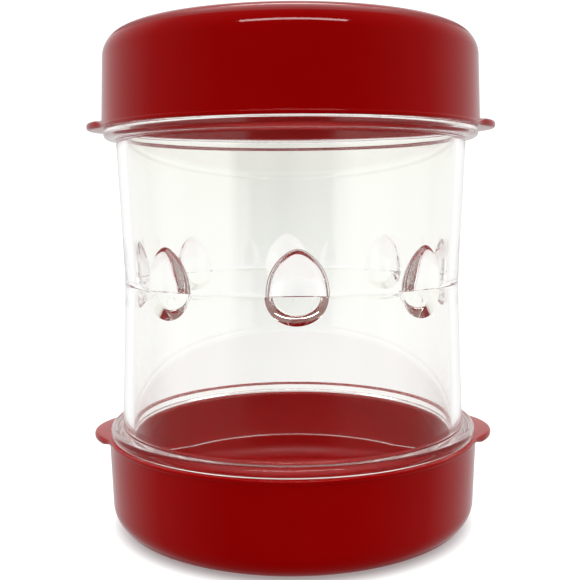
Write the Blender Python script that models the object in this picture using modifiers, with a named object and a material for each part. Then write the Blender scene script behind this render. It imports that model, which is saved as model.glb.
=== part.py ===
"""Shaker for peeling a hard-boiled egg: a clear tube with eight egg-shaped nubs inside and two press-on caps.

Metres, +Z up. The origin is the centre of the bottom cap's underside and +Z is the tube's axis.
The pull tabs point along +X and -X, and one nub is on the -Y side.
"""

from math import cos, hypot, pi, radians, sin

import bpy

# Driving dimensions
CAP_RADIUS = 0.0410        # outside of the cap at its rim
HEIGHT = 0.1075            # over both caps
CAP_HEIGHT = 0.0205        # floor to rim
CAP_WALL = 0.0018
CAP_FLOOR = 0.0022
CAP_DRAFT = 0.00045        # how much narrower the cap is at its closed end
CAP_CORNER = 0.0057        # outside round between wall and end
RIM_BEAD_HEIGHT = 0.0009
RIM_BEAD_PROUD = 0.0003
RIM_EDGE = 0.0003          # small round on the rim
TAB_CENTRE = 0.0290        # centre of the circle that a pull tab's outline follows
TAB_RADIUS = 0.0159
TAB_THICKNESS = 0.0016
TAB_EDGE = 0.0005
FIT_GAP = 0.0003           # between the tube and a cap, where they touch when pressed home
TUBE_WALL = 0.0024
TUBE_WAIST_RADIUS = 0.0369  # outside, at the parting line halfway up
TUBE_END_RADIUS = 0.0383    # outside, at the flanges
FLANGE_RADIUS = 0.0407
FLANGE_HEIGHT = 0.0019
FLANGE_ROUND = 0.0011
FLANGE_FILLET = 0.0006     # between flange and tube wall
SPIGOT_LENGTH = 0.0121     # how far the tube goes into a cap
SPIGOT_TAPER = 0.0004
SPIGOT_EDGE = 0.0004
NUB_COUNT = 8
NUB_YAW = radians(1.5)     # the nubs' turn away from straight ahead
NUB_HALF_WIDTH = 0.0059
NUB_UP = 0.0091            # pointed end of the egg, above the parting line
NUB_DOWN = 0.0055          # blunt end, below it
NUB_HEIGHT = 0.0026        # how far a nub stands out from the bore

TURN_STEPS = 48            # facets round a turned piece
ARC_STEPS = 3              # facets in a small round
CORNER_STEPS = 4
EGG_SEGMENTS = 16
EGG_RINGS = 10
MERGE = 0.00001

# Worked out from them
MID_HEIGHT = HEIGHT / 2
FLANGE_FACE = CAP_HEIGHT + FIT_GAP
SPIGOT_RADIUS = CAP_RADIUS - CAP_WALL - FIT_GAP
TUBE_BOTTOM = FLANGE_FACE - SPIGOT_LENGTH
BORE_END_RADIUS = TUBE_END_RADIUS - TUBE_WALL
BORE_WAIST_RADIUS = TUBE_WAIST_RADIUS - TUBE_WALL


def clear_scene():
    """Remove every object that the file opened with."""
    for thing in list(bpy.data.objects):
        bpy.data.objects.remove(thing, do_unlink=True)


def make_collection(name):
    """Add a collection to the scene."""
    group = bpy.data.collections.new(name)
    bpy.context.scene.collection.children.link(group)
    return group


def make_material(name, colour, roughness, transmission=0.0, ior=1.5):
    """Plain plastic, clear where transmission is 1."""
    material = bpy.data.materials.new(name)
    material.use_nodes = True
    shader = material.node_tree.nodes["Principled BSDF"]
    shader.inputs["Base Color"].default_value = (*colour, 1.0)
    shader.inputs["Roughness"].default_value = roughness
    shader.inputs["Metallic"].default_value = 0.0
    shader.inputs["Transmission Weight"].default_value = transmission
    shader.inputs["IOR"].default_value = ior
    return material


def arc(centre_radius, centre_height, radius, start, end, steps):
    """Points (radius, height) on an arc, from angle start to angle end in degrees."""
    points = []
    for step in range(steps + 1):
        angle = radians(start + (end - start) * step / steps)
        points.append((centre_radius + radius * cos(angle), centre_height + radius * sin(angle)))
    return points


def turned(name, profile, closed, group):
    """Turn a profile of (radius, height) points about Z."""
    mesh = bpy.data.meshes.new(name)
    vertices = [(radius, 0.0, height) for radius, height in profile]
    edges = [(index, index + 1) for index in range(len(profile) - 1)]
    if closed:
        edges.append((len(profile) - 1, 0))
    mesh.from_pydata(vertices, edges, [])
    piece = bpy.data.objects.new(name, mesh)
    group.objects.link(piece)
    screw = piece.modifiers.new("Turn", "SCREW")
    screw.steps = TURN_STEPS
    screw.render_steps = TURN_STEPS
    screw.use_merge_vertices = True
    screw.merge_threshold = MERGE
    screw.use_smooth_shade = True
    return piece


def bake(piece):
    """Replace an object's mesh with its evaluated one."""
    bpy.context.view_layer.update()
    evaluated = piece.evaluated_get(bpy.context.evaluated_depsgraph_get())
    piece.data = bpy.data.meshes.new_from_object(evaluated)
    piece.modifiers.clear()


def combine(piece, tool, operation):
    """Join a hidden tool object to a piece, or cut the piece with it."""
    modifier = piece.modifiers.new(f"{operation.title()} {tool.name}", "BOOLEAN")
    modifier.operation = operation
    modifier.solver = "EXACT"
    modifier.object = tool


def hide_tool(tool):
    """Mark an object as a cutter, which is no part of the model."""
    tool.hide_render = True
    tool.display_type = "WIRE"


def place_shape(name, add, group, **settings):
    """Run one of Blender's add operators and move what it makes into a collection."""
    add(**settings)
    shape = bpy.context.object
    shape.name = name
    for holder in list(shape.users_collection):
        holder.objects.unlink(shape)
    group.objects.link(shape)
    return shape


def egg(name, azimuth, group):
    """Flat-topped egg, point up, half sunk in the bore at an azimuth from -Y."""
    shape = place_shape(name, bpy.ops.mesh.primitive_uv_sphere_add, group,
                        segments=EGG_SEGMENTS, ring_count=EGG_RINGS, radius=1.0)
    for vertex in shape.data.vertices:
        outline = min(1.0, hypot(vertex.co.x, vertex.co.z))
        side = 1 if vertex.co.y > 0 else -1
        vertex.co.y = side * NUB_HEIGHT * (1 - outline ** 4) ** 0.5
        vertex.co.z *= NUB_UP if vertex.co.z > 0 else NUB_DOWN
        vertex.co.x *= NUB_HALF_WIDTH
    shape.location = (BORE_WAIST_RADIUS * sin(azimuth), -BORE_WAIST_RADIUS * cos(azimuth), MID_HEIGHT)
    shape.rotation_euler.z = azimuth
    hide_tool(shape)
    return shape


def tube_profile():
    """Section of the tube: down the outside from the top end, then up the bore."""
    lower = [(SPIGOT_RADIUS, FLANGE_FACE), (FLANGE_RADIUS, FLANGE_FACE)]
    flange_top = FLANGE_FACE + FLANGE_HEIGHT
    lower += arc(FLANGE_RADIUS - FLANGE_ROUND, flange_top - FLANGE_ROUND, FLANGE_ROUND, 0, 90, ARC_STEPS)
    lower += arc(TUBE_END_RADIUS + FLANGE_FILLET, flange_top + FLANGE_FILLET, FLANGE_FILLET,
                 270, 180, ARC_STEPS)
    tip_radius = SPIGOT_RADIUS - SPIGOT_TAPER
    lower = arc(tip_radius - SPIGOT_EDGE, TUBE_BOTTOM + SPIGOT_EDGE, SPIGOT_EDGE, 270, 360, 2) + lower
    upper = [(radius, HEIGHT - height) for radius, height in lower]
    outside = upper + [(TUBE_WAIST_RADIUS, MID_HEIGHT)] + lower[::-1]
    bore = [(BORE_END_RADIUS, TUBE_BOTTOM), (BORE_END_RADIUS, FLANGE_FACE),
            (BORE_WAIST_RADIUS, MID_HEIGHT),
            (BORE_END_RADIUS, HEIGHT - FLANGE_FACE), (BORE_END_RADIUS, HEIGHT - TUBE_BOTTOM)]
    return outside + bore


def make_tube(parts, tools, material):
    """Clear tube with a flange near each end and a belt of nubs round its bore."""
    tube = turned("peeling_tube", tube_profile(), True, parts)
    for index in range(NUB_COUNT):
        nub = egg(f"nub_{index}", NUB_YAW + 2 * pi * index / NUB_COUNT, tools)
        combine(tube, nub, "UNION")
    tube.data.materials.append(material)
    return tube


def cap_profile():
    """Section of a cap standing on its closed end, from the floor's centre round to the underside's."""
    inner_corner = CAP_CORNER - CAP_WALL
    end_radius = CAP_RADIUS - CAP_DRAFT
    bore_radius = CAP_RADIUS - CAP_WALL
    bead_radius = CAP_RADIUS + RIM_BEAD_PROUD
    inside = [(0.0, CAP_FLOOR)]
    inside += arc(end_radius - CAP_WALL - inner_corner, CAP_FLOOR + inner_corner, inner_corner,
                  270, 360, CORNER_STEPS)
    inside += arc(bore_radius + RIM_EDGE, CAP_HEIGHT - RIM_EDGE, RIM_EDGE, 180, 90, 2)
    outside = arc(bead_radius - RIM_EDGE, CAP_HEIGHT - RIM_EDGE, RIM_EDGE, 90, 0, 2)
    outside += [(bead_radius, CAP_HEIGHT - RIM_BEAD_HEIGHT + RIM_BEAD_PROUD),
                (CAP_RADIUS, CAP_HEIGHT - RIM_BEAD_HEIGHT)]
    outside += arc(end_radius - CAP_CORNER, CAP_CORNER, CAP_CORNER, 0, -90, CORNER_STEPS)
    outside.append((0.0, 0.0))
    return inside + outside


def make_tab(name, side, tools):
    """Pull tab: the part of a flat disc that stands out beyond the cap's wall."""
    tab = place_shape(name, bpy.ops.mesh.primitive_cylinder_add, tools, vertices=TURN_STEPS,
                      radius=TAB_RADIUS, depth=TAB_THICKNESS,
                      location=(side * TAB_CENTRE, 0.0, CAP_HEIGHT - TAB_THICKNESS / 2))
    bevel = tab.modifiers.new("Rounded edge", "BEVEL")
    bevel.width = TAB_EDGE
    bevel.segments = 3
    core = place_shape(f"{name}_core", bpy.ops.mesh.primitive_cylinder_add, tools, vertices=TURN_STEPS,
                       radius=CAP_RADIUS - CAP_WALL / 2, depth=CAP_HEIGHT,
                       location=(0.0, 0.0, CAP_HEIGHT))
    combine(tab, core, "DIFFERENCE")
    hide_tool(tab)
    hide_tool(core)
    return tab


def make_cap(name, parts, material, tabs):
    """Press-on cap standing on its closed end, with two pull tabs at its rim."""
    cap = turned(name, cap_profile(), False, parts)
    for tab in tabs:
        combine(cap, tab, "UNION")
    bake(cap)
    cap.data.shade_smooth()
    cap.data.set_sharp_from_angle(angle=radians(40))
    cap.data.materials.clear()
    cap.data.materials.append(material)
    return cap


def make_model():
    """The whole shaker, with both caps pressed home."""
    clear_scene()
    parts = make_collection("egg_peeler_shaker")
    tools = make_collection("cutters")
    red = make_material("glossy_red_plastic", (0.33, 0.008, 0.010), 0.12)
    clear = make_material("clear_plastic", (0.97, 0.98, 0.97), 0.03, transmission=1.0)
    make_tube(parts, tools, clear)
    tabs = [make_tab("tab_right", 1, tools), make_tab("tab_left", -1, tools)]
    make_cap("bottom_cap", parts, red, tabs)
    top_cap = make_cap("top_cap", parts, red, tabs)
    top_cap.location.z = HEIGHT
    top_cap.rotation_euler.x = pi


make_model()
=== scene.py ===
"""Looks of the egg-peeling shaker: a clear tube with nubs inside, between two glossy red caps.

Every length is in metres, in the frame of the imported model: +Z is the tube's axis, the pull tabs
point along +X and -X, and one nub is on the camera's side, along -Y.
"""

from math import asin, cos, hypot, pi, radians, sin, sqrt

import bmesh
import bpy
from mathutils import Euler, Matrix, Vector


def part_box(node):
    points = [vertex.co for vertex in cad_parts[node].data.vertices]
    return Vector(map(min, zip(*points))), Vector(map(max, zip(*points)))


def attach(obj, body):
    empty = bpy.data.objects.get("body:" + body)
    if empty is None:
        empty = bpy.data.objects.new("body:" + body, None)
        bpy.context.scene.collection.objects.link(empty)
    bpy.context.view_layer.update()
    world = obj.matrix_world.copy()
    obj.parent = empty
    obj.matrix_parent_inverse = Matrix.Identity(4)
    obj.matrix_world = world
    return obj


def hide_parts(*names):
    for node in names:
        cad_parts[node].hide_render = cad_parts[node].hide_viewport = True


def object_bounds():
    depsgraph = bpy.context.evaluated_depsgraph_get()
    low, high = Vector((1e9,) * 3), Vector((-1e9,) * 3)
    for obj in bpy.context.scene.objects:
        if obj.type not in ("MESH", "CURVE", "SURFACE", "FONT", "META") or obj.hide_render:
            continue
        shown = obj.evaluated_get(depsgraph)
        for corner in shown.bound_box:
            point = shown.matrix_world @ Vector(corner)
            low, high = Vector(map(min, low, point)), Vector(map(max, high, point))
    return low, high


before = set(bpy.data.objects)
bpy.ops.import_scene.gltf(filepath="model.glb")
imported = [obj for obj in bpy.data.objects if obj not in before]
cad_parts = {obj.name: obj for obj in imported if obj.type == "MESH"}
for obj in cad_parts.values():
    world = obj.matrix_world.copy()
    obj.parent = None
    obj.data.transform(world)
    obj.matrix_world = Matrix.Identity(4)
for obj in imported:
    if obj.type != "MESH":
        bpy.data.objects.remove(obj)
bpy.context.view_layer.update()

# Sizes read from the frame
cap_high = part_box("bottom_cap")[1]
tube_low, tube_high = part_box("peeling_tube")
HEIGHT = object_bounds()[1].z
CAP_HEIGHT = cap_high.z
TAB_REACH = cap_high.x
BEAD_RADIUS = cap_high.y
FLANGE_RADIUS = tube_high.x
TUBE_BOTTOM = tube_low.z
MID_HEIGHT = HEIGHT / 2

# Cap
RIM_BEAD_PROUD = 0.0003
CAP_RADIUS = BEAD_RADIUS - RIM_BEAD_PROUD
CAP_WALL = 0.0018
CAP_FLOOR = 0.0022
CAP_DRAFT = 0.00045
CAP_CORNER = 0.0057
RIM_BEAD_HEIGHT = 0.0008
LEAD_IN = 0.0010           # round inside the rim
TAB_RADIUS = 0.0159
TAB_CENTRE = TAB_REACH - TAB_RADIUS
TAB_THICKNESS = 0.0016
TAB_BLEND = 0.0010         # round between a tab's outline and the rim's
TAB_FLARE = 0.0015         # where the rim stands out this much more, it is as thick as a tab
RIM_EDGE = 0.00025         # rounds on the edge of the bead, and what a tab's edge adds to them
TAB_EDGE = 0.00040
UNDER_RIM_FILLET = 0.0004
RIM_WAVES = ((0.00003, 9, 1), (0.00002, 23, 2))    # (height, count, phase) of the bead's unevenness
CAP_COLUMNS = 360
CAP_SHARP_ANGLE = radians(60)
INSIDE_RADIUS = CAP_RADIUS - CAP_WALL + 0.0002     # the satin inside ends at the rim's lead-in

# Tube
FIT_GAP = 0.0003
TUBE_WALL = 0.0024
TUBE_WAIST_RADIUS = 0.0369
TUBE_END_RADIUS = 0.0383
WAIST_SOFTNESS = 0.004     # how far the outside's two drafts blend into each other
FLANGE_FACE = CAP_HEIGHT + FIT_GAP
FLANGE_HEIGHT = 0.0019
FLANGE_ROUND = 0.0011
FLANGE_FILLET = 0.0006
FLANGE_EDGE = 0.00015      # on the side that faces the cap
SPIGOT_RADIUS = CAP_RADIUS - CAP_WALL - FIT_GAP
SPIGOT_TAPER = 0.0004
SPIGOT_EDGE = 0.0004
SPIGOT_ROOT = LEAD_IN + FIT_GAP    # round between spigot and flange, clear of the cap's lead-in
BORE_WAIST_RADIUS = TUBE_WAIST_RADIUS - TUBE_WALL
PARTING_RIDGE = 0.00002    # height of the mould line round the bore
PARTING_HALF_WIDTH = 0.00006
TUBE_SHARP_ANGLE = radians(30)

# Nubs inside the tube: the outline is an egg with its point up, widest on the parting line.
# The upper half is a dome, and the lower half is a plateau with sloping walls.
NUB_COUNT = 8
NUB_YAW = radians(1.5)
NUB_HALF_WIDTH = 0.0059
NUB_UP = 0.0091
NUB_DOWN = 0.0055
NUB_POINT = 0.25           # how much narrower than an ellipse the upper end is
DOME_ROUND = 0.00236       # the dome's height is the sum of a round and a flat-topped part
DOME_FLAT = 0.0005
DOME_POWER = 12
PLATEAU_HEIGHT = 0.00206
PLATEAU_EDGE = 0.12        # share of the wall that the round at the plateau's edge takes
PLATEAU_HALF_WIDTH = 0.00455
PLATEAU_DOWN = 0.00345
CORE_SHIFT = 0.00018       # the upper core of the mould sits this far to one side of the lower one
MARK_DROP = 0.0020         # round ejector mark on each plateau
MARK_RADIUS = 0.00125
MARK_DEPTH = 0.00004
MARK_EDGE = 1.15           # the mark's edge slopes from this share of its radius inwards
MARK_SLOPE = 0.3

# The belt of nubs is meshed in panels: one round each nub, and plain wall between them
COLUMNS_PER_NUB = 48
PANEL_COLUMNS = 24
TUBE_COLUMNS = NUB_COUNT * COLUMNS_PER_NUB
COLUMN_ANGLE = 2 * pi / TUBE_COLUMNS
ROW = 0.001
PANEL_UP = 10              # rows above and below the parting line
PANEL_DOWN = 7
PANEL_SHARES = (0.0, 0.25, 0.5, 0.7, 0.85, 0.94, 0.98)     # rings between a panel's edge and its nub
NUB_RINGS = (0.0, 0.03, 0.1, 0.2, 0.3, 0.4, 0.5, 0.6, 0.7, 0.8, 0.88, 0.94, 1.0, 1.06,
             1.12, 1.16, 1.22, 1.29, 1.36, 1.43, 1.5, 1.58, 1.66, 1.74, 1.82, 1.9)
MERGE = 0.000001

# Plastics
RED_DARK = (0.455, 0.0006, 0.0006, 1)
RED_LIGHT = (0.495, 0.0012, 0.0012, 1)
RED_IOR = 1.49
CLEAR_DARK = (0.950, 0.955, 0.938, 1)
CLEAR_LIGHT = (1.0, 1.0, 0.990, 1)
CLEAR_IOR = 1.52

# Camera
CAMERA_DISTANCE = 4.937 * CAP_RADIUS
CAMERA_HEIGHT = 1.758 * CAP_RADIUS
CAMERA_PITCH = 5.785       # degrees, downwards
CAMERA_ROLL = 0.396
CAMERA_YAW = 0.073
CAMERA_LENS = 56.05        # millimetres, on a sensor 36 mm wide

# Table and lights
TABLE_SIZE = 40.0
CONTACT_SHADOW_REACH = 0.003          # how near something has to be to get the table's painted contact shadow
# brightness of the table's glow in its painted contact shadow
CONTACT_SHADOW_BRIGHTNESS = 0.22
STRIP_AIM = (0, 0, 0.1)
INNER_FILL_POWER = 0.033
INNER_FILL_RISE = 0.012    # above the middle
INNER_FILL_RADIUS = 0.02
MOST_BOUNCES = 128         # light takes long paths in the clear wall, and with fewer the nubs go black

# Room: brightness or colour against a coordinate of the direction, -Y being the camera's side
WORLD_STRENGTH = 1.15
STEEP_FADE = -0.3          # how the brightness of the walls falls with steepness, up or down
DUSK = (0.30, 0.19, 0.17, 1)
# What reflections meet, from the camera's side to the back: off an outside, after one reflection
# inside the clear wall, after more of them, and after crossing the tube
WALLS = ((-0.87, 0.0), (-0.57, 0.04), (-0.12, 0.10), (0.45, 0.42), (0.77, 0.6))
ONCE = ((-0.93, 0.0), (-0.8, DUSK), (0.3, DUSK), (0.8, 1.0))
AGAIN = ((0.3, DUSK), (0.8, 1.0))
ACROSS = ((-0.86, 0.0), (-0.8, 0.9), (0.3, 0.9), (0.8, 1.0))
# The sweep as seen through the tube: by height, from side to side, and how much of the latter by height
SWEEP = ((-0.15, 1.0), (-0.06, (0.99, 0.995, 0.97, 1)), (0.04, (0.96, 0.975, 0.93, 1)))
MIDDLE = ((-0.088, 1.0), (-0.072, 0.85), (-0.04, 0.86), (-0.01, 0.82),
          (0.02, 0.87), (0.055, 0.88), (0.09, 1.0))
MIDDLE_SHARE = ((-0.18, 0.1), (0.03, 1.0))
# What lights matt surfaces, from below to above
HEIGHTS = ((-0.75, 0.1), (-0.6, 0.55), (-0.2, 0.55), (-0.1, 0.05),
           (0.1, 0.05), (0.2, 0.63), (0.65, 0.63), (0.8, 0.60))
HEIGHTS_STRENGTH = 1.45
HEIGHTS_FROM_BACK = 0.65   # added to the strength at the back, and taken off it at the front


def arc(centre_radius, centre_height, radius, start, end, steps):
    """Points (radius, height) on an arc, from angle start to angle end in degrees."""
    points = []
    for step in range(steps + 1):
        angle = radians(start + (end - start) * step / steps)
        points.append((centre_radius + radius * cos(angle), centre_height + radius * sin(angle)))
    return points


def polar(radius, azimuth, height):
    """Point at an azimuth counted from -Y towards +X."""
    return Vector((radius * sin(azimuth), -radius * cos(azimuth), height))


def bridge(build, rows, closed=True):
    """Fill quads between rows of vertices, each row running round the same way."""
    for lower, upper in zip(rows, rows[1:]):
        count = len(lower)
        for index in range(count if closed else count - 1):
            after = (index + 1) % count
            quad = [lower[index], lower[after], upper[after], upper[index]]
            corners = list(dict.fromkeys(quad))
            if len(corners) > 2:
                build.faces.new(corners)


def finish_mesh(name, build, sharp_angle):
    """Weld a bmesh, turn its faces outwards and make it an object."""
    bmesh.ops.remove_doubles(build, verts=build.verts, dist=MERGE)
    bmesh.ops.recalc_face_normals(build, faces=build.faces)
    mesh = bpy.data.meshes.new(name)
    build.to_mesh(mesh)
    build.free()
    mesh.shade_smooth()
    mesh.set_sharp_from_angle(angle=sharp_angle)
    piece = bpy.data.objects.new(name, mesh)
    bpy.context.scene.collection.objects.link(piece)
    return piece


# ---------------------------------------------------------------- tube

def spread(start, end, steps):
    """Evenly spaced numbers from start to end."""
    return [start + (end - start) * step / steps for step in range(steps + 1)]


def draft(height):
    """How much wider than at its waist the tube is at a height."""
    rise = (TUBE_END_RADIUS - TUBE_WAIST_RADIUS) / (MID_HEIGHT - FLANGE_FACE)
    return rise * abs(height - MID_HEIGHT)


def outer_radius(height):
    """Radius of the outside, whose two drafts blend at the waist."""
    rise = (TUBE_END_RADIUS - TUBE_WAIST_RADIUS) / (MID_HEIGHT - FLANGE_FACE)
    return TUBE_WAIST_RADIUS + rise * (hypot(height - MID_HEIGHT, WAIST_SOFTNESS) - WAIST_SOFTNESS)


def nub_ring(share):
    """Half-width, rise and drop of a nub's ring: 0 is its outline, 1 the plateau's edge, 2 its middle."""
    if share <= 1:
        half_width = NUB_HALF_WIDTH + (PLATEAU_HALF_WIDTH - NUB_HALF_WIDTH) * share
        drop = NUB_DOWN + (PLATEAU_DOWN - NUB_DOWN) * share
    else:
        half_width = PLATEAU_HALF_WIDTH * (2 - share)
        drop = PLATEAU_DOWN * (2 - share)
    return half_width, NUB_UP * half_width / NUB_HALF_WIDTH, drop


def dome_height(share):
    """Height of a nub's upper half above the bore."""
    ratio = nub_ring(share)[0] / NUB_HALF_WIDTH
    return DOME_ROUND * (1 - ratio ** 2) + DOME_FLAT * (1 - ratio ** DOME_POWER)


def plateau_height(share, across, up):
    """Height of a nub's lower half above the bore, with its round mark."""
    from_mark = hypot(across, up + MARK_DROP) / MARK_RADIUS
    dent = MARK_DEPTH * min(1.0, max(0.0, (MARK_EDGE - from_mark) / MARK_SLOPE))
    rise = min(1.0, share)
    if abs(share - 1) < PLATEAU_EDGE:
        rise = 1 - (1 + PLATEAU_EDGE - share) ** 2 / (4 * PLATEAU_EDGE)
    return PLATEAU_HEIGHT * rise - dent


def panel_border():
    """Edge of a nub's panel as (across, up): its upper half from right to left, then its lower half."""
    half_width = BORE_WAIST_RADIUS * COLUMN_ANGLE * PANEL_COLUMNS / 2
    columns = spread(-half_width, half_width, PANEL_COLUMNS)[1:-1]
    above = [PARTING_HALF_WIDTH] + [ROW * step for step in range(1, PANEL_UP + 1)]
    below = [-PARTING_HALF_WIDTH] + [-ROW * step for step in range(1, PANEL_DOWN + 1)]
    upper = [(half_width, up) for up in above]
    upper += [(across, above[-1]) for across in columns[::-1]]
    upper += [(-half_width, up) for up in above[::-1]]
    lower = [(-half_width, up) for up in below]
    lower += [(across, below[-1]) for across in columns]
    lower += [(half_width, up) for up in below[::-1]]
    return upper, lower


def nub_points(share, upper_count, lower_count):
    """One ring of a nub: its upper half as (across, up, height), then its lower half."""
    half_width, rise, drop = nub_ring(share)
    upper, lower = [], []
    for angle in spread(0, pi, upper_count - 1):
        narrow = 1 - NUB_POINT * sin(angle) ** 4
        up = PARTING_HALF_WIDTH + (rise - PARTING_HALF_WIDTH) * sin(angle)
        upper.append((half_width * cos(angle) * narrow + CORE_SHIFT, up, dome_height(share)))
    for angle in spread(pi, 2 * pi, lower_count - 1):
        across = half_width * cos(angle)
        up = -PARTING_HALF_WIDTH + (drop - PARTING_HALF_WIDTH) * sin(angle)
        lower.append((across, up, plateau_height(share, across, up)))
    return upper, lower


def with_parting_line(upper, lower):
    """Close a ring with a point on the parting line at its left and at its right."""
    def between(one, other):
        return tuple((a + b) / 2 for a, b in zip(one, other))
    return upper + [between(upper[-1], lower[0])] + lower + [between(lower[-1], upper[0])]


def bore_point(azimuth, across, up, height):
    """Point of the bore, raised inwards by a height and by the mould line's ridge."""
    ridge = PARTING_RIDGE if abs(up) < PARTING_HALF_WIDTH / 2 else 0.0
    radius = BORE_WAIST_RADIUS + draft(MID_HEIGHT + up) - height - ridge
    return polar(radius, azimuth + across / BORE_WAIST_RADIUS, MID_HEIGHT + up)


def add_nub_panel(build, azimuth):
    """Rings from a panel's edge in to a nub's outline, over the nub and on to its middle."""
    upper, lower = panel_border()
    upper_count, lower_count = len(upper), len(lower)
    border = with_parting_line([(a, b, 0.0) for a, b in upper], [(a, b, 0.0) for a, b in lower])
    foot = with_parting_line(*nub_points(0.0, upper_count, lower_count))
    rings = []
    for share in PANEL_SHARES:
        rings.append([tuple(a + (b - a) * share for a, b in zip(start, end))
                      for start, end in zip(border, foot)])
    for share in NUB_RINGS:
        rings.append(with_parting_line(*nub_points(share, upper_count, lower_count)))
    rows = [[build.verts.new(bore_point(azimuth, *point)) for point in ring] for ring in rings]
    bridge(build, rows)
    crown = build.verts.new(bore_point(azimuth, CORE_SHIFT, PARTING_HALF_WIDTH, dome_height(2)))
    floor = build.verts.new(bore_point(azimuth, 0, -PARTING_HALF_WIDTH, PLATEAU_HEIGHT))
    seam = build.verts.new((crown.co + floor.co) / 2)
    last = rows[-1]
    left, right = last[upper_count], last[-1]
    for index in range(upper_count - 1):
        build.faces.new([last[index], last[index + 1], crown])
    for index in range(upper_count + 1, upper_count + lower_count):
        build.faces.new([last[index], last[index + 1], floor])
    build.faces.new([last[upper_count - 1], left, seam, crown])
    build.faces.new([left, last[upper_count + 1], floor, seam])
    build.faces.new([last[-2], right, seam, floor])
    build.faces.new([right, last[0], crown, seam])


def add_plain_panel(build, azimuth):
    """Plain bore between two nubs' panels, starting at an azimuth."""
    ups = [-ROW * step for step in range(PANEL_DOWN, 0, -1)]
    ups += [-PARTING_HALF_WIDTH, 0.0, PARTING_HALF_WIDTH]
    ups += [ROW * step for step in range(1, PANEL_UP + 1)]
    rows = []
    for up in ups:
        rows.append([build.verts.new(bore_point(azimuth + COLUMN_ANGLE * index, 0.0, up, 0.0))
                     for index in range(COLUMNS_PER_NUB - PANEL_COLUMNS + 1)])
    bridge(build, rows, closed=False)


def add_turned(build, profile):
    """Turn a profile of (radius, height) points, with the belt's columns."""
    start = NUB_YAW - COLUMN_ANGLE * PANEL_COLUMNS / 2
    rows = [[build.verts.new(polar(radius, start + COLUMN_ANGLE * index, height))
             for index in range(TUBE_COLUMNS)] for radius, height in profile]
    bridge(build, rows)


def end_profile():
    """Section of the tube's lower end: down the bore, round the spigot's tip, and up over the flange."""
    flange_top = FLANGE_FACE + FLANGE_HEIGHT
    tip_radius = SPIGOT_RADIUS - SPIGOT_TAPER
    mouth = BORE_WAIST_RADIUS + draft(FLANGE_FACE)
    profile = [(mouth, height) for height in spread(FLANGE_FACE, TUBE_BOTTOM + SPIGOT_EDGE, 4)[:-1]]
    profile += arc(mouth + SPIGOT_EDGE, TUBE_BOTTOM + SPIGOT_EDGE, SPIGOT_EDGE, 180, 270, 5)
    profile += arc(tip_radius - SPIGOT_EDGE, TUBE_BOTTOM + SPIGOT_EDGE, SPIGOT_EDGE, 270, 360, 5)
    profile += arc(SPIGOT_RADIUS + SPIGOT_ROOT, FLANGE_FACE - SPIGOT_ROOT, SPIGOT_ROOT, 180, 90, 10)
    profile += arc(FLANGE_RADIUS - FLANGE_EDGE, FLANGE_FACE + FLANGE_EDGE, FLANGE_EDGE, 270, 360, 3)
    profile += arc(FLANGE_RADIUS - FLANGE_ROUND, flange_top - FLANGE_ROUND, FLANGE_ROUND, 0, 90, 10)
    foot = outer_radius(flange_top + FLANGE_FILLET)
    profile += arc(foot + FLANGE_FILLET, flange_top + FLANGE_FILLET, FLANGE_FILLET, 270, 180, 8)
    return profile


def make_tube():
    """Clear tube: both ends, the outside, the bore and its belt of nubs, welded into one closed skin."""
    build = bmesh.new()
    lower = end_profile()
    upper = [(radius, HEIGHT - height) for radius, height in lower]
    wall = spread(lower[-1][1], HEIGHT - lower[-1][1], 40)
    add_turned(build, lower + [(outer_radius(height), height) for height in wall[1:-1]] + upper[::-1])
    belt_low, belt_high = MID_HEIGHT - PANEL_DOWN * ROW, MID_HEIGHT + PANEL_UP * ROW
    for height_range in (spread(FLANGE_FACE, belt_low, 10), spread(belt_high, HEIGHT - FLANGE_FACE, 10)):
        add_turned(build, [(BORE_WAIST_RADIUS + draft(height), height) for height in height_range])
    half_panel = COLUMN_ANGLE * PANEL_COLUMNS / 2
    for index in range(NUB_COUNT):
        azimuth = NUB_YAW + 2 * pi * index / NUB_COUNT
        add_nub_panel(build, azimuth)
        add_plain_panel(build, azimuth + half_panel)
    return finish_mesh("clear_tube", build, TUBE_SHARP_ANGLE)


# ---------------------------------------------------------------- caps

def tab_reach(azimuth):
    """How far the rim stands out from the cap's wall: a small bead, and a tab at each side."""
    bead = RIM_BEAD_PROUD + sum(rise * sin(count * azimuth + phase) for rise, count, phase in RIM_WAVES)
    from_side = asin(abs(cos(azimuth)))
    if from_side > 0.9 * asin(TAB_RADIUS / TAB_CENTRE):
        return bead
    half_chord = sqrt(TAB_RADIUS ** 2 - (TAB_CENTRE * sin(from_side)) ** 2)
    tab = TAB_CENTRE * cos(from_side) + half_chord - CAP_RADIUS
    if tab < bead - 4 * TAB_BLEND:
        return bead
    # The larger of the two, with a smooth change from one to the other
    gap = tab - bead
    return (tab + bead + sqrt(gap * gap + TAB_BLEND ** 2) - TAB_BLEND * 0.2) / 2


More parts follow.
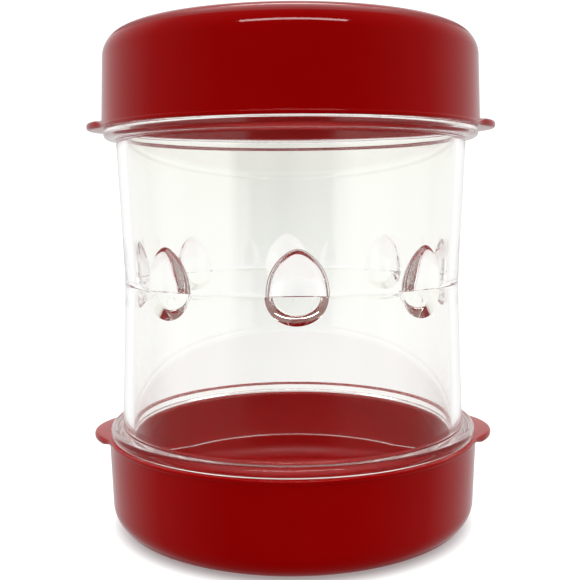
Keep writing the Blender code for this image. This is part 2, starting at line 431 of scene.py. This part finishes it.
def cap_section(azimuth):
    """Section of the cap on its closed end, from the floor's centre over the rim to the underside."""
    proud = tab_reach(azimuth)
    tabness = min(1.0, max(0.0, (proud - RIM_BEAD_PROUD) / TAB_FLARE))
    edge = min(RIM_EDGE + TAB_EDGE * tabness, proud * 0.9)
    thick = RIM_BEAD_HEIGHT + (TAB_THICKNESS - RIM_BEAD_HEIGHT) * tabness
    end_radius = CAP_RADIUS - CAP_DRAFT
    inner_corner = CAP_CORNER - CAP_WALL
    bore = CAP_RADIUS - CAP_WALL
    section = [(radius, CAP_FLOOR) for radius in spread(0, end_radius - CAP_WALL - inner_corner, 8)]
    section += arc(end_radius - CAP_WALL - inner_corner, CAP_FLOOR + inner_corner, inner_corner,
                   270, 360, 10)[1:]
    section += arc(bore + LEAD_IN, CAP_HEIGHT - LEAD_IN, LEAD_IN, 180, 90, 8)
    tip = CAP_RADIUS + proud
    section += arc(tip - edge, CAP_HEIGHT - edge, edge, 90, 0, 5)
    under = CAP_HEIGHT - thick
    section += arc(tip - edge, under + edge, edge, 0, -90, 5)
    fillet = min(UNDER_RIM_FILLET, (proud - edge) * 0.9 + 0.00005)
    section += arc(CAP_RADIUS + fillet, under - fillet, fillet, 90, 180, 5)
    section += [(CAP_RADIUS - CAP_DRAFT * share, under - fillet - (under - fillet - CAP_CORNER) * share)
                for share in (0.25, 0.5, 0.75)]
    section += arc(end_radius - CAP_CORNER, CAP_CORNER, CAP_CORNER, 0, -90, 14)
    section += [(radius, 0.0) for radius in spread(end_radius - CAP_CORNER, 0, 8)[1:]]
    return section


def make_cap(name, upside_down):
    """Red cap with a rounded corner, a beaded rim and two pull tabs."""
    build = bmesh.new()
    azimuths = [2 * pi * index / CAP_COLUMNS for index in range(CAP_COLUMNS)]
    sections = [cap_section(azimuth) for azimuth in azimuths]
    rows = []
    for level in range(len(sections[0])):
        row = []
        for azimuth, section in zip(azimuths, sections):
            radius, height = section[level]
            point = polar(radius, azimuth, height)
            if upside_down:
                point = Vector((point.x, point.y, HEIGHT - height))
            row.append(build.verts.new(point))
        rows.append(row)
    bridge(build, rows)
    return finish_mesh(name, build, CAP_SHARP_ANGLE)


# ---------------------------------------------------------------- materials

def new_material(name):
    """Material with its Principled shader and node tree."""
    material = bpy.data.materials.new(name)
    material.use_nodes = True
    return material, material.node_tree, material.node_tree.nodes["Principled BSDF"]


def noise(tree, scale, detail, stretch=(1, 1, 1)):
    """Noise in the piece's own coordinates."""
    place = tree.nodes.new("ShaderNodeTexCoord")
    mapping = tree.nodes.new("ShaderNodeMapping")
    mapping.inputs["Scale"].default_value = stretch
    texture = tree.nodes.new("ShaderNodeTexNoise")
    texture.inputs["Scale"].default_value = scale
    texture.inputs["Detail"].default_value = detail
    tree.links.new(place.outputs["Object"], mapping.inputs["Vector"])
    tree.links.new(mapping.outputs["Vector"], texture.inputs["Vector"])
    return texture.outputs["Fac"]


def as_colour(value):
    """A colour as it is, or a number as a grey."""
    return value if isinstance(value, tuple) else (value, value, value, 1.0)


def colour_ramp(tree, source, stops):
    """Colour ramp with stops of (place from 0 to 1, colour or grey)."""
    node = tree.nodes.new("ShaderNodeValToRGB")
    elements = node.color_ramp.elements
    while len(elements) < len(stops):
        elements.new(0.5)
    for element, (place, colour) in zip(elements, stops):
        element.position = place
        element.color = as_colour(colour)
    tree.links.new(source, node.inputs["Fac"])
    return node.outputs["Color"]


def ramp(tree, source, low, high):
    """Map 0.3 to 0.7 of a noise onto two colours or two greys."""
    return colour_ramp(tree, source, ((0.3, low), (0.7, high)))


def calculate(tree, kind, operation, inputs):
    """Math or vector math node, whose inputs are sockets or plain values."""
    node = tree.nodes.new(kind)
    node.operation = operation
    for index, value in enumerate(inputs):
        if isinstance(value, bpy.types.NodeSocket):
            tree.links.new(value, node.inputs[index])
        else:
            node.inputs[index].default_value = value
    return node


def number(tree, operation, *inputs):
    """Result of a math node."""
    return calculate(tree, "ShaderNodeMath", operation, inputs).outputs["Value"]


def vector(tree, operation, *inputs):
    """Result of a vector math node."""
    node = calculate(tree, "ShaderNodeVectorMath", operation, inputs)
    return node.outputs["Value" if operation == "LENGTH" else "Vector"]


def choose(tree, factor, one, other):
    """One colour where the factor is 0, the other where it is 1."""
    node = tree.nodes.new("ShaderNodeMix")
    node.data_type = "RGBA"
    tree.links.new(factor, node.inputs["Factor"])
    for name, value in (("A", one), ("B", other)):
        socket = next(socket for socket in node.inputs if socket.name == name and socket.type == "RGBA")
        tree.links.new(value, socket)
    return next(socket for socket in node.outputs if socket.type == "RGBA")


def bump(tree, source, distance, shader):
    """Raise a surface by a noise."""
    node = tree.nodes.new("ShaderNodeBump")
    node.inputs["Strength"].default_value = 1.0
    node.inputs["Distance"].default_value = distance
    tree.links.new(source, node.inputs["Height"])
    tree.links.new(node.outputs["Normal"], shader.inputs["Normal"])


def inside_caps(tree):
    """1 on the caps' inner surfaces, 0 on their outsides."""
    place = tree.nodes.new("ShaderNodeTexCoord")
    offset = vector(tree, "SUBTRACT", place.outputs["Object"], (0, 0, MID_HEIGHT))
    across = vector(tree, "MULTIPLY", offset, (1 / INSIDE_RADIUS, 1 / INSIDE_RADIUS, 0))
    split = tree.nodes.new("ShaderNodeSeparateXYZ")
    tree.links.new(offset, split.inputs["Vector"])
    rise = number(tree, "DIVIDE", number(tree, "ABSOLUTE", split.outputs["Z"]), MID_HEIGHT - CAP_FLOOR / 2)
    return number(tree, "LESS_THAN", number(tree, "MAXIMUM", vector(tree, "LENGTH", across), rise), 1.0)


def red_plastic():
    """Glossy moulded plastic with a faint mottle and a slightly uneven skin, satin inside the caps."""
    material, tree, shader = new_material("glossy_red_plastic")
    tree.links.new(ramp(tree, noise(tree, 55, 3), RED_DARK, RED_LIGHT), shader.inputs["Base Color"])
    glossy = ramp(tree, noise(tree, 160, 4), 0.05, 0.08)
    satin = ramp(tree, noise(tree, 160, 4), 0.38, 0.44)
    tree.links.new(choose(tree, inside_caps(tree), glossy, satin), shader.inputs["Roughness"])
    shader.inputs["IOR"].default_value = RED_IOR
    bump(tree, noise(tree, 90, 2), 0.00002, shader)
    return material


def clear_plastic():
    """Polished clear plastic with a faint warm tint, flow marks along the tube and a trace of haze."""
    material, tree, shader = new_material("clear_plastic")
    flow_marks = noise(tree, 60, 2, (1, 1, 0.06))
    tree.links.new(ramp(tree, flow_marks, CLEAR_DARK, CLEAR_LIGHT), shader.inputs["Base Color"])
    tree.links.new(ramp(tree, noise(tree, 120, 4), 0.0, 0.012), shader.inputs["Roughness"])
    shader.inputs["Transmission Weight"].default_value = 1.0
    shader.inputs["IOR"].default_value = CLEAR_IOR
    bump(tree, noise(tree, 40, 1, (1, 1, 0.25)), 0.00001, shader)
    return material


def floor_material():
    """White table top that glows evenly, with a painted contact shadow right beside what stands on it."""
    material, tree, shader = new_material("white_table")
    tree.links.new(ramp(tree, noise(tree, 20, 2), 0.30, 0.32), shader.inputs["Base Color"])
    shader.inputs["Roughness"].default_value = 0.7
    shader.inputs["Emission Color"].default_value = as_colour(1.0)
    # Painted contact shadow: ambient occlusion dims the table's glow next to whatever stands on it
    gap = tree.nodes.new("ShaderNodeAmbientOcclusion")
    gap.inputs["Distance"].default_value = CONTACT_SHADOW_REACH
    lighten = tree.nodes.new("ShaderNodeMapRange")
    lighten.inputs["To Min"].default_value = CONTACT_SHADOW_BRIGHTNESS
    lighten.inputs["To Max"].default_value = 1.0
    tree.links.new(gap.outputs["AO"], lighten.inputs["Value"])
    tree.links.new(lighten.outputs["Result"], shader.inputs["Emission Strength"])
    return material


# ---------------------------------------------------------------- room, light and camera

def make_floor():
    """Wide pale table under the shaker."""
    bpy.ops.mesh.primitive_plane_add(size=TABLE_SIZE, location=(0, 0, 0))
    floor = bpy.context.object
    floor.name = "table"
    floor.data.materials.append(floor_material())
    floor.visible_glossy = False
    floor.visible_transmission = False
    floor.visible_diffuse = False


def gradient(tree, source, low, high, stops):
    """Colour ramp over a range of a direction's coordinate, with stops of (place, colour or grey)."""
    scale = tree.nodes.new("ShaderNodeMapRange")
    scale.inputs["From Min"].default_value = low
    scale.inputs["From Max"].default_value = high
    tree.links.new(source, scale.inputs["Value"])
    places = [((place - low) / (high - low), colour) for place, colour in stops]
    return colour_ramp(tree, scale.outputs["Result"], places)


def make_world():
    """White sweep lit from behind and above, in a room whose near side is dark."""
    world = bpy.data.worlds.new("white_room")
    bpy.context.scene.world = world
    world.use_nodes = True
    tree = world.node_tree
    place = tree.nodes.new("ShaderNodeTexCoord")
    split = tree.nodes.new("ShaderNodeSeparateXYZ")
    tree.links.new(place.outputs["Generated"], split.inputs["Vector"])
    x, y, z = (split.outputs[axis] for axis in "XYZ")
    path = tree.nodes.new("ShaderNodeLightPath")

    def beyond(kind, limit):
        return number(tree, "GREATER_THAN", path.outputs[kind], limit)

    # What is reflected by the outsides of the tube and the caps
    back = number(tree, "MULTIPLY_ADD", number(tree, "ABSOLUTE", z), STEEP_FADE, y)
    outside = gradient(tree, back, -1, 1, WALLS)
    # What is reflected inside the clear wall once, or again, or seen in a surface across the tube
    inside = choose(tree, beyond("Glossy Depth", 1.5),
                    gradient(tree, y, -1, 1, ONCE), gradient(tree, y, -1, 1, AGAIN))
    inside = choose(tree, beyond("Transmission Depth", 3.5), inside, gradient(tree, y, -1, 1, ACROSS))
    refracted = beyond("Transmission Depth", 0.5)
    mirrored = choose(tree, refracted, outside, inside)
    # What is seen past the tube, and through it: the sweep's middle is a little darker
    plain = tree.nodes.new("ShaderNodeRGB")
    plain.outputs[0].default_value = as_colour(1.0)
    middle = choose(tree, gradient(tree, z, -0.2, 0.2, MIDDLE_SHARE),
                    plain.outputs[0], gradient(tree, x, -0.2, 0.2, MIDDLE))
    through = vector(tree, "MULTIPLY", gradient(tree, z, -0.2, 0.2, SWEEP), middle)
    direct = choose(tree, refracted, plain.outputs[0], through)
    seen = choose(tree, beyond("Glossy Depth", 0.5), direct, mirrored)
    # What lights the matt share of a surface
    from_back = number(tree, "MULTIPLY_ADD", y, HEIGHTS_FROM_BACK, HEIGHTS_STRENGTH)
    lit = tree.nodes.new("ShaderNodeVectorMath")
    lit.operation = "SCALE"
    tree.links.new(gradient(tree, z, -1, 1, HEIGHTS), lit.inputs["Vector"])
    tree.links.new(from_back, lit.inputs["Scale"])
    background = tree.nodes["Background"]
    tree.links.new(choose(tree, beyond("Diffuse Depth", 0.5), seen, lit.outputs["Vector"]),
                   background.inputs["Color"])
    background.inputs["Strength"].default_value = WORLD_STRENGTH
    world.cycles.sampling_method = "NONE"    # a world that is sampled as a light knows no count of bounces


def add_strip(name, place, width, depth, radiance):
    """Strip light of a given brightness, turned towards the top cap, that lights no matt surface."""
    light = bpy.data.lights.new(name, "AREA")
    light.shape = "RECTANGLE"
    light.size = width
    light.size_y = depth
    light.energy = radiance * pi * width * depth
    lamp = bpy.data.objects.new(name, light)
    lamp.location = place
    lamp.visible_diffuse = False
    lamp.rotation_euler = (Vector(STRIP_AIM) - Vector(place)).to_track_quat("-Z", "Y").to_euler()
    bpy.context.scene.collection.objects.link(lamp)


def add_inner_fill():
    """Light inside the tube that brightens the insides of the caps and isn't seen itself."""
    light = bpy.data.lights.new("inner_fill", "POINT")
    light.energy = INNER_FILL_POWER
    light.shadow_soft_size = INNER_FILL_RADIUS
    lamp = bpy.data.objects.new("inner_fill", light)
    lamp.location = (0, 0, MID_HEIGHT + INNER_FILL_RISE)
    lamp.visible_camera = False
    lamp.visible_glossy = False
    lamp.visible_transmission = False
    bpy.context.scene.collection.objects.link(lamp)


def make_camera():
    """Camera about 20 cm in front of the axis, a little above the middle and looking slightly down."""
    camera = bpy.data.cameras.new("camera")
    camera.sensor_width = 36.0
    camera.lens = CAMERA_LENS
    camera.clip_start = 0.01
    holder = bpy.data.objects.new("camera", camera)
    holder.location = (0, -CAMERA_DISTANCE, CAMERA_HEIGHT)
    holder.rotation_mode = "XYZ"
    holder.rotation_euler = Euler((radians(90 - CAMERA_PITCH), radians(CAMERA_ROLL), radians(CAMERA_YAW)))
    bpy.context.scene.collection.objects.link(holder)
    bpy.context.scene.camera = holder


# ---------------------------------------------------------------- assembly

def place_piece(piece, material, node, body):
    """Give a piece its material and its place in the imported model."""
    piece.data.materials.append(material)
    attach(piece, body)
    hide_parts(node)


red = red_plastic()
place_piece(make_cap("red_bottom_cap", False), red, "bottom_cap", "bottom_cap")
place_piece(make_cap("red_top_cap", True), red, "top_cap", "top_cap")
tube = make_tube()
tube.visible_shadow = False    # the clear wall lets the light through to the table
place_piece(tube, clear_plastic(), "peeling_tube", "tube")
make_floor()
make_world()
add_strip("overhead_strip", (0.03, -0.73, 0.79), 1.0, 0.12, 8)
add_strip("back_strip", (0.0, 0.48, 0.97), 0.75, 0.18, 5)
add_inner_fill()
make_camera()
bpy.context.scene.view_settings.view_transform = "Standard"
cycles = bpy.context.scene.cycles
cycles.max_bounces = MOST_BOUNCES
cycles.glossy_bounces = MOST_BOUNCES
cycles.transmission_bounces = MOST_BOUNCES
